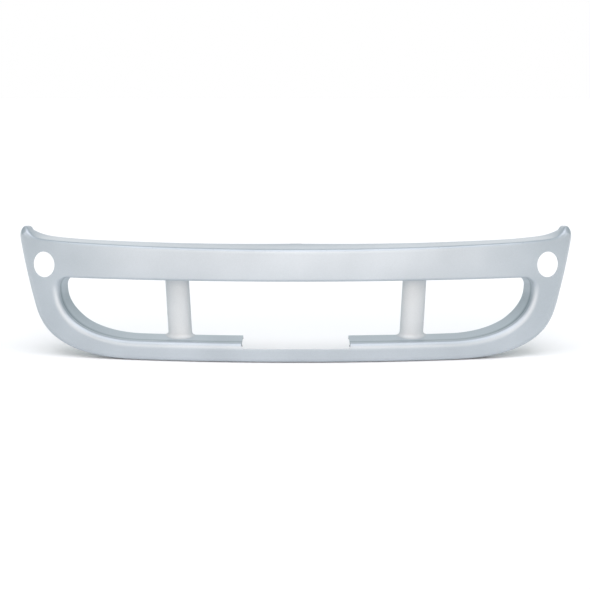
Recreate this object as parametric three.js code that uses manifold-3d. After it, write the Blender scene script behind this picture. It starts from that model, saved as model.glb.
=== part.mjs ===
// Centre bumper cover of a highway truck: a moulded shell with a wide D-ended air opening, a liner that
// lines the opening, two half-round uprights, and the rivets, screws and clip nuts that hold it together.
//
// The shell is drawn flat and then bent. In the flat frame, in millimetres:
//   x runs along the cover, from its centre plane,
//   y runs into the vehicle, from the front face,
//   z runs up, from the lower edge.
// bend() gives every point its place on the real cover, which sweeps back towards its ends and is crowned
// from top to bottom. Clips, screws and rivets are rigid, so seat() places them whole.
import * as THREE from "three";
import { LoftGeometry } from "three/addons/geometries/LoftGeometry.js";
import { mergeVertices } from "three/addons/utils/BufferGeometryUtils.js";
import Module from "manifold-3d";

const wasm = await Module();
wasm.setup();

// Sweep and crown
const middleRadius = 3030; // plan radius of the long middle stretch
const endRadius = 600; // plan radius of both ends
const middleHalf = 640; // where the plan radius changes, from the centre plane
const crownRadius = 2000; // vertical crown of the face
const crownCentre = 120; // height of the crown's foremost point
const crownFull = 43; // the crown acts in full up to this depth,
const crownGone = 70; // and not at all behind this one

// Outline of the face: the line where it turns over
const topHeight = 333; // top edge on the centre plane
const topBow = 2.7e-5; // how much the top edge rises, times the distance squared
const topEnd = 750; // where the top edge starts to turn up to the tip
const tipPull = [812, 350.7];
const tipCentre = [842, 355];
const tipRadius = 5;
const sideTilt = THREE.MathUtils.degToRad(18.4); // lean of the side edges
const sideFoot = [783.5, 163]; // lower end of the straight side edge
const cornerPull = [758, 72, 700, 0]; // control points of the lower corner
const bottomEnd = 480; // half of the straight lower edge

// Opening
const openTop = 240;
const openBottom = 57.5;
const openEnd = 717; // half length of the opening
const openRadius = 33; // its upper corners
const openPull = [717, 116, 620, 57.5];
const openStraight = 470;
const openEdge = [20, 14]; // the edge's quarter ellipse: how far it runs out over the face, and its depth
const openEdgeTop = [7, 5]; // the same along the top
const lipEnd = 20; // depth of the end of the lip

// Rim outside that line, as [outward, depth]: the sides have a sloping shoulder that runs up into the tips
const wall = 3;
const topRear = [10, 74]; // rear edge of the top flange on the centre plane,
const topRearFar = 2.4; // which climbs less than that far from it
const bottomRear = [1.5, 45];
const shoulder = [30, 18];
const sideRear = [33, 42];
const edgeRadius = 10;
const shoulderRadius = 8;
const faceInset = 13; // where the face's own curve starts, inside the ridge line
const bead = [2.5, 0.9]; // the raised line where the sides' shoulder starts: how far out, and how high
const tipRise = [785, 841]; // the shoulder grows between these distances along the top, to a part of
const tipShare = 0.5; // its size, and to all of it round the tip
const tipRearShare = 0.2; // the flange's rear edge follows, more slowly
const tipRearDepth = 40;
const gusset = { thick: 2.2, top: [90, 240, 420, 680], bottom: [95, 330, 570] };

// Holes and notch
const towHole = { x: 764, z: 275, radius: 38 };
const notch = { half: 160, bottom: 41, radius: 9 };

// Liner
const linerWall = 2.5;
const linerFront = 18;
const linerDepth = 70;
const linerInset = 3.8; // how far the liner stands outside the shell's lip
const linerFlange = { outer: 14, front: 21 };
const linerRear = { bottom: 10.5, top: 3, ends: -1 }; // how far its rear edge stands inside the lip
const linerRearLip = 12;
const gap = 0.3; // clearance between neighbouring pieces

// Uprights
const upright = { x: 357, z: 150, halfWidth: 36.5, depth: 23, back: 69, wall: 3 };
const uprightLean = THREE.MathUtils.degToRad(2.66);

// Fasteners
const fastenerSides = 10;
const rivetPlaces = [
  ["top_inner", 180, openTop + 27],
  ["top_outer", 540, openTop + 27],
  ["end", 744, 186],
  ["bottom_outer", 470, openBottom - 27],
  ["bottom_inner", 205, openBottom - 27],
];
const topClips = [0, 300, 600];
const bottomClips = [250, 500];
const sideClips = [
  ["upper", 318],
  ["lower", 195],
];
const pad = { width: 24, height: 20, top: 20.7, plate: 2.5 }; // the shell's raised pads for the rivets
const rivet = { hole: 4.6, shank: 3.9, head: 9, headThick: 2, bore: 2.3, length: 17, bulge: 5.2 };
const pin = { shank: 1.95, head: 4.6, headThick: 1.8, length: 17 };
const ear = { half: 11, free: 8, reach: 22 }; // the liner's ears for them
const tab = { width: 34, height: 27, thick: 3, corner: 4, hole: 5 };
const clip = { width: 18, top: 7, foot: 15.5, thick: 1.2, opening: 3.8, hole: 3.4, barrel: 5.5, reach: 6 };
const screw = { hole: 2.7, shank: 2.2, head: 4.6, headThick: 2.6, length: 15, spread: 18, depth: 60 };
const boss = { radius: 6, length: 13 };

const materials = {
  shell: new THREE.MeshStandardMaterial({ color: 0xc9cfd4, roughness: 0.35, metalness: 0.35 }),
  liner: new THREE.MeshStandardMaterial({ color: 0xa9b1b6, roughness: 0.45, metalness: 0.3 }),
  upright: new THREE.MeshStandardMaterial({ color: 0xc2c8cc, roughness: 0.5, metalness: 0.3 }),
  nylon: new THREE.MeshStandardMaterial({ color: 0x17181a, roughness: 0.55, metalness: 0 }),
  springSteel: new THREE.MeshStandardMaterial({ color: 0x5b5f63, roughness: 0.4, metalness: 0.9 }),
  screwSteel: new THREE.MeshStandardMaterial({ color: 0xb9bcc0, roughness: 0.3, metalness: 1 }),
};

// ---- From the flat frame to the real cover

// Place and sweep angle of the plan curve at a distance along it.
function planCurve(along) {
  const side = Math.sign(along);
  const distance = Math.abs(along);
  const first = Math.min(distance, middleHalf) / middleRadius;
  const angle = first + Math.max(distance - middleHalf, 0) / endRadius;
  const x = middleRadius * Math.sin(first) + endRadius * (Math.sin(angle) - Math.sin(first));
  const y = middleRadius * (1 - Math.cos(first)) + endRadius * (Math.cos(first) - Math.cos(angle));
  return { x: side * x, y, angle: side * angle };
}

function crownAt(depth, z) {
  const share = THREE.MathUtils.clamp((crownGone - depth) / (crownGone - crownFull), 0, 1);
  return (share * (z - crownCentre) ** 2) / (2 * crownRadius);
}

function bend(point) {
  const plan = planCurve(point.x);
  const depth = point.y + crownAt(point.y, point.z);
  return new THREE.Vector3(
    plan.x - depth * Math.sin(plan.angle),
    plan.y + depth * Math.cos(plan.angle),
    point.z,
  );
}

// The frame of the bent cover at a flat point: x along the cover, y out of its back, z up.
function seat(x, depth, z) {
  const origin = bend(new THREE.Vector3(x, depth, z));
  const along = new THREE.Vector3(Math.cos(planCurve(x).angle), Math.sin(planCurve(x).angle), 0);
  const up = bend(new THREE.Vector3(x, depth, z + 1)).sub(origin);
  const back = new THREE.Vector3().crossVectors(up, along).normalize();
  up.crossVectors(along, back);
  return new THREE.Matrix4().makeBasis(along, back, up).setPosition(origin);
}

// ---- Solids

function solidOf(geometry) {
  const bare = new THREE.BufferGeometry().setAttribute("position", geometry.getAttribute("position"));
  if (geometry.index) bare.setIndex(geometry.index);
  const merged = mergeVertices(bare, 1e-4);
  const mesh = new wasm.Mesh({
    numProp: 3,
    vertProperties: new Float32Array(merged.attributes.position.array),
    triVerts: new Uint32Array(merged.index.array),
  });
  return new wasm.Manifold(mesh);
}

function geometryOf(solid) {
  const mesh = solid.getMesh();
  const positions = new Float32Array(mesh.numVert * 3);
  for (let i = 0; i < mesh.numVert; i++) {
    const start = i * mesh.numProp;
    positions.set(mesh.vertProperties.subarray(start, start + 3), i * 3);
  }
  return new THREE.BufferGeometry()
    .setAttribute("position", new THREE.BufferAttribute(positions, 3))
    .setIndex(new THREE.BufferAttribute(new Uint32Array(mesh.triVerts), 1));
}

function bent(solid) {
  const geometry = geometryOf(solid);
  const position = geometry.getAttribute("position");
  const point = new THREE.Vector3();
  for (let i = 0; i < position.count; i++) {
    const place = bend(point.fromBufferAttribute(position, i));
    position.setXYZ(i, place.x, place.y, place.z);
  }
  geometry.computeVertexNormals();
  return geometry;
}

function block(x0, x1, y0, y1, z0, z1) {
  const box = new THREE.BoxGeometry(x1 - x0, y1 - y0, z1 - z0);
  return box.translate((x0 + x1) / 2, (y0 + y1) / 2, (z0 + z1) / 2);
}

// A round bar along y, from y0 to y1.
function barAlongY(radius, y0, y1, x = 0, z = 0, sides = fastenerSides) {
  const cylinder = new THREE.CylinderGeometry(radius, radius, y1 - y0, sides);
  return cylinder.translate(x, (y0 + y1) / 2, z);
}

// A round bar along z, from z0 to z1.
function barAlongZ(radius, z0, z1) {
  const cylinder = new THREE.CylinderGeometry(radius, radius, z1 - z0, fastenerSides);
  return cylinder.rotateX(Math.PI / 2).translate(0, 0, (z0 + z1) / 2);
}

// A plate drawn in (x, z) and standing from y0 to y1.
function plateAlongY(shape, y0, y1, curveSegments = 4) {
  const plate = new THREE.ExtrudeGeometry(shape, { depth: y1 - y0, bevelEnabled: false, curveSegments });
  return plate.rotateX(Math.PI / 2).translate(0, y1, 0);
}

// A plate drawn in (y, z) and centred on x.
function plateAlongX(points, thickness, x = 0) {
  const plate = new THREE.ExtrudeGeometry(outline(points), { depth: thickness, bevelEnabled: false });
  const turn = new THREE.Matrix4().makeBasis(
    new THREE.Vector3(0, 1, 0),
    new THREE.Vector3(0, 0, 1),
    new THREE.Vector3(1, 0, 0),
  );
  return plate.applyMatrix4(turn).translate(x - thickness / 2, 0, 0);
}

function outline(points) {
  return new THREE.Shape(points.map(([x, y]) => new THREE.Vector2(x, y)));
}

function union(solids) {
  return solids.reduce((whole, next) => whole.add(next));
}

function unionOf(geometries) {
  return union(geometries.map(solidOf));
}

function bothSides(make) {
  return [-1, 1].map(make);
}

// ---- Outlines, as pairs of curves that run round the right half, from top centre to bottom centre

function line(x0, z0, x1, z1) {
  return new THREE.LineCurve(new THREE.Vector2(x0, z0), new THREE.Vector2(x1, z1));
}

function arc(centre, radius, from, to) {
  const [x, z] = centre;
  const start = THREE.MathUtils.degToRad(from);
  const end = THREE.MathUtils.degToRad(to);
  return new THREE.EllipseCurve(x, z, radius, radius, start, end, true);
}

// The parabola of the top edge, between two distances from the centre plane.
function topEdge(x0, x1) {
  const height = (x) => topHeight + topBow * x * x;
  const middle = topHeight + topBow * x0 * x1;
  return new THREE.QuadraticBezierCurve(
    new THREE.Vector2(x0, height(x0)),
    new THREE.Vector2((x0 + x1) / 2, middle),
    new THREE.Vector2(x1, height(x1)),
  );
}

const tipStart = 105; // degrees, where the top edge meets the rounded tip
const tipFinish = -THREE.MathUtils.radToDeg(sideTilt);
const tipArc = arc(tipCentre, tipRadius, tipStart, tipFinish);
const tipTop = tipArc.getPoint(0);
const tipSide = tipArc.getPoint(1);
const lowerCorner = new THREE.CubicBezierCurve(
  new THREE.Vector2(...sideFoot),
  new THREE.Vector2(cornerPull[0], cornerPull[1]),
  new THREE.Vector2(cornerPull[2], cornerPull[3]),
  new THREE.Vector2(bottomEnd, 0),
);
const openCorner = arc([openEnd - openRadius, openTop - openRadius], openRadius, 90, 0);
const openSweep = new THREE.CubicBezierCurve(
  new THREE.Vector2(openEnd, openTop - openRadius),
  new THREE.Vector2(openPull[0], openPull[1]),
  new THREE.Vector2(openPull[2], openPull[3]),
  new THREE.Vector2(openStraight, openBottom),
);
const upturn = new THREE.QuadraticBezierCurve(
  new THREE.Vector2(topEnd, topHeight + topBow * topEnd ** 2),
  new THREE.Vector2(...tipPull),
  tipTop,
);
const topSplit = 590;

// Each stretch: the outer curve, the opening's curve, its share of that curve, and how many steps it takes.
const stretches = [
  { outer: topEdge(0, topSplit), inner: line(0, openTop, topSplit, openTop), steps: 8 },
  {
    outer: topEdge(topSplit, topEnd),
    inner: line(topSplit, openTop, openEnd - openRadius, openTop),
    steps: 3,
  },
  { outer: upturn, inner: openCorner, to: 0.45, steps: 6 },
  { outer: tipArc, inner: openCorner, from: 0.45, to: 0.75, steps: 6 },
  { outer: line(tipSide.x, tipSide.y, ...sideFoot), inner: openCorner, from: 0.75, steps: 2, last: 0.3 },
  { outer: line(tipSide.x, tipSide.y, ...sideFoot), inner: openSweep, to: 0.2, steps: 3, first: 0.3 },
  { outer: lowerCorner, inner: openSweep, from: 0.2, steps: 9 },
  { outer: line(bottomEnd, 0, 0, 0), inner: line(openStraight, openBottom, 0, openBottom), steps: 6 },
];

// One station of the ring: a point and an inward direction on the outer outline, and on the opening's.
function stationAt(stretch, share) {
  const { outer, inner, from = 0, to = 1, first = 0, last = 1 } = stretch;
  const outerShare = first + (last - first) * share;
  const innerShare = from + (to - from) * share;
  const outerTangent = outer.getTangent(outerShare);
  const innerTangent = inner.getTangent(innerShare);
  return {
    outer: outer.getPoint(outerShare),
    outerIn: new THREE.Vector2(outerTangent.y, -outerTangent.x),
    inner: inner.getPoint(innerShare),
    innerOut: new THREE.Vector2(-innerTangent.y, innerTangent.x),
  };
}

function mirrored(station) {
  const flip = (v) => new THREE.Vector2(-v.x, v.y);
  return {
    outer: flip(station.outer),
    outerIn: flip(station.outerIn),
    inner: flip(station.inner),
    innerOut: flip(station.innerOut),
  };
}

function ringStations() {
  const half = stretches.flatMap((stretch) =>
    Array.from({ length: stretch.steps }, (_, i) => stationAt(stretch, i / stretch.steps)),
  );
  half.push(stationAt(stretches.at(-1), 1));
  const left = half.slice(1, -1).reverse().map(mirrored);
  return [...half, ...left, half[0]];
}

const stations = ringStations();

// A ring whose cross-section at each station is a closed list of points.
function ring(sectionOf) {
  return solidOf(new LoftGeometry(stations.map(sectionOf), { closed: true }));
}

// The point at [distance, depth] from a base point on an outline, distance being measured along a direction.
function offset(base, direction, [distance, depth]) {
  return new THREE.Vector3(base.x + distance * direction.x, depth, base.y + distance * direction.y);
}

// The far side of a wall that follows a line of [distance, depth] points, on the right of its way along.
function wallBehind(points) {
  const ways = points.slice(1).map(([d, w], i) => {
    const [d0, w0] = points[i];
    const length = Math.hypot(d - d0, w - w0);
    return [(d - d0) / length, (w - w0) / length];
  });
  return points.map(([d, w], i) => {
    const before = ways[Math.max(i - 1, 0)];
    const after = ways[Math.min(i, ways.length - 1)];
    const [nd, nw] = [before[1] + after[1], -before[0] - after[0]];
    const scale = (2 * wall) / (nd * nd + nw * nw);
    return [d + nd * scale, w + nw * scale];
  });
}

// ---- Shell

// How far the top flange climbs from the front edge to its rear edge, away from the tips.
function flangeRise(x) {
  return topRear[0] - (topRear[0] - topRearFar) * Math.min(Math.abs(x) / 650, 1);
}

// How much of the side shoulder and of the side flange there is at a station, and how far back that goes.
function rimShares({ outer, outerIn }) {
  const x = Math.abs(outer.x);
  if (outerIn.y >= 0 && x < tipSide.x - 0.01) {
    const share = Math.min(Math.abs(outerIn.x) / Math.cos(sideTilt), 1) ** 3;
    return { share, rearShare: share, depth: THREE.MathUtils.lerp(bottomRear[1], sideRear[1], share) };
  }
  const rise = THREE.MathUtils.clamp((x - tipRise[0]) / (tipRise[1] - tipRise[0]), 0, 1) ** 2;
  const round = THREE.MathUtils.smoothstep(x, tipTop.x, tipSide.x);
  return {
    share: rise * (tipShare + (1 - tipShare) * Math.min(1.4 * round, 1)),
    rearShare: rise * (tipRearShare + (1 - tipRearShare) * round),
    depth: THREE.MathUtils.lerp(THREE.MathUtils.lerp(topRear[1], tipRearDepth, rise), sideRear[1], round),
  };
}

// The rim's outer surface at a station, from its rear edge to the face, as [outward, depth].
function rimLine(station) {
  const { share, rearShare, depth } = rimShares(station);
  const plain = station.outerIn.y < 0 ? flangeRise(station.outer.x) : bottomRear[0];
  const mix = (a, b) => a + (b - a) * share;
  const rear = [plain + (sideRear[0] - plain) * rearShare, depth];
  const corner = shoulder.map((value) => value * share);
  const narrow = Math.min(2 * share, 1); // the border closes up where the outline turns sharply
  const inset = faceInset * (1 - narrow);
  const ridge = [bead[0] * share ** 2 - inset, -bead[1] * share ** 2];
  const radius = mix(edgeRadius, shoulderRadius);
  const towards = ([d, w]) => {
    const way = [d - corner[0], w - corner[1]];
    const part = radius / Math.hypot(...way);
    return [corner[0] + way[0] * part, corner[1] + way[1] * part];
  };
  const [start, end] = [towards(rear), towards(ridge)];
  const rounding = [0, 0.5, 1].map((t) =>
    [0, 1].map((k) => (1 - t) ** 2 * start[k] + 2 * t * (1 - t) * corner[k] + t ** 2 * end[k]),
  );
  return [rear, ...rounding, ridge, [-inset - 4 + 2 * narrow, 0]];
}

// The opening's rounded edge from the face to the end of its lip, as [outward from the opening, depth].
function lipLine({ innerOut }) {
  const share = Math.min(Math.max(innerOut.y, 0) / 0.8, 1) ** 2;
  const [reach, depth] = openEdge.map((value, k) => value + (openEdgeTop[k] - value) * share);
  const rounding = [75, 45, 15].map((degrees) => {
    const turn = THREE.MathUtils.degToRad(degrees);
    return [reach * (1 - Math.cos(turn)), depth * (1 - Math.sin(turn))];
  });
  return [[reach + 3, 0], ...rounding, [0, lipEnd]];
}

function shellSection(station) {
  const { outer, outerIn, inner, innerOut } = station;
  const outward = outerIn.clone().negate();
  const rim = rimLine(station);
  const lip = lipLine(station);
  const between = (a, b) => a.clone().lerp(b, 0.5);
  const skinRim = rim.map((point) => offset(outer, outward, point));
  const skinLip = lip.map((point) => offset(inner, innerOut, point));
  const backRim = wallBehind(rim).map((point) => offset(outer, outward, point));
  const backLip = wallBehind(lip).map((point) => offset(inner, innerOut, point));
  const skin = [...skinRim, between(skinRim.at(-1), skinLip[0]), ...skinLip];
  const back = [...backRim, between(backRim.at(-1), backLip[0]), ...backLip];
  return [...skin, ...back.reverse()];
}

function rivetPads() {
  const [w, h] = [pad.width / 2, pad.height / 2];
  const [y0, y1] = [pad.top - pad.plate, pad.top];
  return bothSides((side) =>
    rivetPlaces.map(([, at, z]) => {
      const x = side * at;
      const inside = block(x - w - 1, x + w + 1, wall, y0, z - h + pad.plate, z + h - pad.plate);
      return {
        outside: block(x - w, x + w, wall / 2, y1, z - h, z + h),
        cuts: [inside, barAlongY(rivet.hole, y0 - 1, y1 + 1, x, z)],
      };
    }),
  ).flat();
}

// Where each clip nut sits: the tab's centre, its rear face, and how far it is turned from hanging down.
function clipPlaces() {
  const sides = (side) => (side < 0 ? "left" : "right");
  const places = topClips.flatMap((x) => {
    const z = topHeight + flangeRise(x) + topBow * x * x - 14;
    if (x === 0) return [{ name: "clip_nut_top_centre", x, z, depth: topRear[1], turn: 0 }];
    const order = x > 400 ? "outer" : "inner";
    return bothSides((side) => ({
      name: `clip_nut_top_${order}_${sides(side)}`,
      x: side * x,
      z,
      depth: topRear[1],
      turn: 0,
    }));
  });
  for (const side of [-1, 1]) {
    for (const x of bottomClips) {
      const order = x > 400 ? "outer" : "inner";
      const name = `clip_nut_bottom_${order}_${sides(side)}`;
      places.push({ name, x: side * x, z: 13, depth: bottomRear[1], turn: Math.PI });
    }
    for (const [level, z] of sideClips) {
      const reach = sideRear[0] - wall + 2 - tab.height / 2;
      const edge = sideFoot[0] + (z - sideFoot[1]) * Math.tan(sideTilt) + reach / Math.cos(sideTilt);
      const name = `clip_nut_side_${level}_${sides(side)}`;
      places.push({ name, x: side * edge, z, depth: sideRear[1], turn: side * (Math.PI / 2 + sideTilt) });
    }
  }
  return places;
}

// Tabs turn off the flanges' rear edges, and each carries a clip nut.
function shellTabs() {
  const [w, h, r] = [tab.width / 2, tab.height / 2, tab.corner];
  const corners = [
    [r - w, -h],
    [w - r, -h],
    [w, r - h],
    [w, h],
    [-w, h],
    [-w, r - h],
  ];
  return clipPlaces().map(({ x, z, depth, turn }) => {
    const place = (geometry) => solidOf(geometry.rotateY(turn).translate(x, 0, z));
    const plate = place(plateAlongY(outline(corners), depth - tab.thick, depth));
    return plate.subtract(place(barAlongY(tab.hole, depth - tab.thick - 1, depth + 1)));
  });
}

// Moulded gussets in the corner between the face and the top flange, and above the lower flange.
function gussets() {
  const top = gusset.top.flatMap((x) => {
    const under = topHeight + topBow * x * x - 1;
    const points = [
      [wall - 1, under - 26],
      [wall - 1, under - 2],
      [wall + 7, under],
      [38, under + (flangeRise(x) * 38) / topRear[1]],
    ];
    return bothSides((side) => plateAlongX(points, gusset.thick, side * x));
  });
  const bottom = gusset.bottom.flatMap((x) => {
    const floor = x > bottomEnd ? 8 : 1.5;
    const points = [
      [wall - 1, floor + 2],
      [wall - 1, floor + 24],
      [bottomRear[1] - 8, floor],
      [wall + 6, floor],
    ];
    return bothSides((side) => plateAlongX(points, gusset.thick, side * x));
  });
  return [...top, ...bottom];
}

// Cuts the notch in the lower edge, from below the opening's top downwards through shell and liner.
function notchTool() {
  const { half, bottom, radius } = notch;
  const roof = (openTop + openBottom) / 2;
  const shape = new THREE.Shape();
  shape.moveTo(-half, roof);
  shape.lineTo(-half, bottom + radius);
  shape.absarc(-half + radius, bottom + radius, radius, Math.PI, 1.5 * Math.PI, false);
  shape.absarc(half - radius, bottom + radius, radius, 1.5 * Math.PI, 2 * Math.PI, false);
  shape.lineTo(half, roof);
  return plateAlongY(shape, -40, linerDepth + 40, 5);
}

function makeShell() {
  const pads = rivetPads();
  const added = unionOf([...pads.map((p) => p.outside), ...gussets()]).add(union(shellTabs()));
  const holes = bothSides((side) => barAlongY(towHole.radius, -30, 60, side * towHole.x, towHole.z, 36));
  const cuts = unionOf([...pads.flatMap((p) => p.cuts), ...holes, notchTool()]);
  return ring(shellSection).add(added).subtract(cuts);
}

// ---- Liner

// Distance of the liner's visible face from the shell's lip, at a depth; negative is into the opening.
function linerFace({ innerOut }, depth) {
  const down = THREE.MathUtils.smoothstep(-innerOut.y, 0.15, 0.95);
  const up = THREE.MathUtils.smoothstep(innerOut.y, 0.3, 1);
  const { bottom, top, ends } = linerRear;
  const rear = ends + (bottom - ends) * down + (top - ends) * up;
  return linerInset - ((depth - linerFront) / (linerDepth - linerFront)) * (linerInset + rear);
}

function linerSection(station) {
  const { outer, front } = linerFlange;
  const at = (depth) => linerFace(station, depth);
  const back = linerDepth - linerWall;
  const points = [
    [at(linerFront), linerFront],
    [at(linerDepth), linerDepth],
    [at(linerDepth) + linerRearLip, linerDepth],
    [at(linerDepth) + linerRearLip, back],
    [at(back) + linerWall, back],
    [at(front + linerWall) + linerWall, front + linerWall],
    [outer, front + linerWall],
    [outer, front],
    [at(front) + linerWall, front],
    [at(linerFront) + linerWall, linerFront],
  ];
  return points.map((point) => offset(station.inner, station.innerOut, point));
}

// The space inside the liner, a clearance away from its face, and lifted if need be.
function tunnel(lift = 0) {
  const ringAt = (depth) =>
    stations.slice(0, -1).map((station) => {
      const distance = linerFace(station, depth) - gap;
      return offset(station.inner, station.innerOut, [distance, depth]);
    });
  const rings = [ringAt(linerFront + 10), ringAt(linerDepth + 8)];
  return solidOf(new LoftGeometry(rings, { capStart: true, capEnd: true }).translate(0, 0, lift));
}

// Ears round the liner's flange take the rivets. In the ear's own frame its free end points up.
function rivetEars() {
  const turns = { top: 0, bottom: Math.PI, end: Math.PI / 2 };
  const [y0, y1] = [linerFlange.front, linerFlange.front + linerWall];
  return bothSides((side) =>
    rivetPlaces.map(([row, x, z]) => {
      const [edge] = row.split("_");
      const plate = block(-ear.half, ear.half, y0, y1, -ear.reach, ear.free);
      return {
        plate: plate.rotateY(side * turns[edge]).translate(side * x, 0, z),
        hole: barAlongY(rivet.hole, y0 - 1, y1 + 1, side * x, z),
      };
    }),
  ).flat();
}

// ---- Uprights and their screws

function uprightX(side, z) {
  return side * (upright.x + (z - upright.z) * Math.tan(uprightLean));
}

// A D-shaped bar along z that leans with the upright; inset thins it on every side.
function dBar(side, inset, back) {
  const shape = new THREE.Shape();
  const [w, d] = [upright.halfWidth - inset, upright.depth - inset];
  const axis = upright.back;
  shape.moveTo(w, back);
  shape.lineTo(-w, back);
  shape.lineTo(-w, axis);
  shape.absellipse(0, axis, w, d, Math.PI, 2 * Math.PI, false);
  const [z0, z1] = [openBottom - 40, openTop + 40];
  const bar = new THREE.ExtrudeGeometry(shape, { depth: z1 - z0, bevelEnabled: false, curveSegments: 11 });
  bar.translate(0, 0, z0);
  const lean = new THREE.Matrix4();
  lean.elements[8] = side * Math.tan(uprightLean); // x grows with z
  bar.applyMatrix4(lean).translate(side * (upright.x - upright.z * Math.tan(uprightLean)), 0, 0);
  return solidOf(bar);
}

// Height of the liner's visible face at a depth, on its straight bottom or top.
function linerHeight(low, depth) {
  const face = linerFace({ innerOut: new THREE.Vector2(0, low ? -1 : 1) }, depth);
  return low ? openBottom - face : openTop + face;
}

// Screws come through the liner's wall into bosses inside the uprights.
function screwPlaces() {
  return bothSides((side) =>
    ["bottom", "top"].flatMap((end) =>
      [-1, 1].map((hand) => {
        const low = end === "bottom";
        const name = `upright_screw_${side < 0 ? "left" : "right"}_${end}_${hand < 0 ? "inner" : "outer"}`;
        const x = uprightX(side, linerHeight(low, screw.depth)) + side * hand * screw.spread;
        return { name, x, low, side };
      }),
    ),
  ).flat();
}

// The frame of a screw: square to the liner's wall, with z running into the upright from its visible face.
// warp places points: bend() for the real cover, or nothing at all for the flat one.
function screwSeat({ x, low }, warp = (point) => point) {
  const at = (dx, dy) => {
    const depth = screw.depth + dy;
    return warp(new THREE.Vector3(x + dx, depth, linerHeight(low, depth)));
  };
  const along = at(1, 0).sub(at(-1, 0)).normalize();
  const back = at(0, 1).sub(at(0, -1)).normalize();
  if (!low) along.negate();
  const inward = new THREE.Vector3().crossVectors(along, back);
  return new THREE.Matrix4().makeBasis(along, back, inward).setPosition(at(0, 0));
}

// Round bars on the screws' axes, between two heights above the liner's visible face.
function screwBars(places, radius, z0, z1) {
  return unionOf(places.map((place) => barAlongZ(radius, z0, z1).applyMatrix4(screwSeat(place))));
}

function makeUpright(side) {
  const places = screwPlaces().filter((place) => place.side === side);
  const outside = dBar(side, 0, upright.back).intersect(tunnel());
  const hollow = dBar(side, upright.wall, upright.back + 20);
  const inside = hollow.intersect(tunnel(upright.wall)).intersect(tunnel(-upright.wall));
  const bosses = screwBars(places, boss.radius, 1, boss.length).intersect(outside);
  return outside.subtract(inside).add(bosses).subtract(screwBars(places, screw.hole, -3, boss.length + 2));
}

function makeLiner() {
  const ears = rivetEars();
  const liner = ring(linerSection).add(unionOf(ears.map((e) => e.plate)));
  const cuts = unionOf([...ears.map((e) => e.hole), notchTool()]);
  return liner.subtract(cuts.add(screwBars(screwPlaces(), screw.hole, -8, 4)));
}

// ---- Rigid fasteners, each in its own frame: y points out of the cover's back

function turned(points) {
  return solidOf(new THREE.LatheGeometry(points.map(([r, y]) => new THREE.Vector2(r, y)), fastenerSides));
}

// Two-piece plastic rivet: y is 0 under its head.
function rivetGeometry() {
  const { shank, head, headThick, bore, length, bulge } = rivet;
  const grip = linerWall + gap + pad.plate + 0.3;
  const body = turned([
    [bore, -length],
    [bore + 0.8, -length],
    [bulge, -grip - 2.5],
    [shank, -grip],
    [shank, 0],
    [head, 0],
    [head, headThick - 0.6],
    [head - 1, headThick],
    [bore, headThick],
    [bore, -length],
  ]);
  const slot = block(-0.9, 0.9, -length - 1, -grip - 1, -bulge - 1, bulge + 1);
  return geometryOf(body.subtract(solidOf(slot)));
}

function pinGeometry() {
  const { shank, head, headThick, length } = pin;
  const seatHeight = rivet.headThick + gap;
  const body = turned([
    [0, seatHeight - length],
    [shank - 0.8, seatHeight - length],
    [shank, seatHeight - length + 2],
    [shank, seatHeight],
    [head, seatHeight],
    [head, seatHeight + headThick - 0.6],
    [head - 0.8, seatHeight + headThick],
    [0, seatHeight + headThick],
  ]);
  return geometryOf(body);
}

// Spring clip nut: it straddles a tab over its free edge, towards -z. y is 0 on the tab's rear face.
function clipGeometry() {
  const { width, top, foot, thick, opening, hole, barrel, reach } = clip;
  const rear = (opening - tab.thick) / 2;
  const front = rear - opening;
  const profile = [
    [rear + thick, top],
    [rear, top],
    [rear, -foot],
    [front, -foot],
    [front, top - 1.5],
    [front - thick, top],
    [front - thick, 0.8 - foot - thick],
    [front - thick + 0.8, -foot - thick],
    [rear + thick - 0.8, -foot - thick],
    [rear + thick, 0.8 - foot - thick],
  ];
  const tube = barAlongY(barrel, front - thick - reach, front - thick / 2);
  const bore = barAlongY(hole, front - thick - reach - 1, rear + thick + 1);
  return geometryOf(unionOf([plateAlongX(profile, width), tube]).subtract(solidOf(bore)));
}

// Pan-head screw: z is 0 on the liner's visible face, and the head is on the far side of its wall.
function screwGeometry() {
  const { shank, head, headThick, length } = screw;
  const seatHeight = -linerWall - gap;
  const body = turned([
    [0, seatHeight - headThick],
    [head - 1, seatHeight - headThick],
    [head, seatHeight - headThick + 1],
    [head, seatHeight],
    [shank, seatHeight],
    [shank, seatHeight + length - 2],
    [0.6, seatHeight + length],
    [0, seatHeight + length],
  ]);
  const drive = block(-0.6, 0.6, seatHeight - headThick - 1, seatHeight - headThick + 1.2, -2.6, 2.6);
  return geometryOf(body.subtract(solidOf(drive))).rotateX(Math.PI / 2);
}

// ---- Assembly

const cover = new THREE.Group();

function addMesh(name, geometry, material, matrix) {
  const mesh = new THREE.Mesh(geometry, material);
  mesh.name = name;
  if (matrix) matrix.decompose(mesh.position, mesh.quaternion, mesh.scale);
  cover.add(mesh);
  return mesh;
}

addMesh("cover_shell", bent(makeShell()), materials.shell);
addMesh("opening_liner", bent(makeLiner()), materials.liner);
addMesh("upright_left", bent(makeUpright(-1)), materials.upright);
addMesh("upright_right", bent(makeUpright(1)), materials.upright);

const rivetShape = rivetGeometry();
const pinShape = pinGeometry();
for (const side of [-1, 1]) {
  for (const [row, x, z] of rivetPlaces) {
    const end = side < 0 ? "left" : "right";
    const matrix = seat(side * x, linerFlange.front + linerWall + gap, z);
    addMesh(`rivet_${row}_${end}`, rivetShape, materials.nylon, matrix);
    addMesh(`rivet_pin_${row}_${end}`, pinShape, materials.nylon, matrix);
  }
}

const clipShape = clipGeometry();
for (const { name, x, z, depth, turn } of clipPlaces()) {
  const matrix = seat(x, depth, z).multiply(new THREE.Matrix4().makeRotationY(turn));
  addMesh(name, clipShape, materials.springSteel, matrix);
}

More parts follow.
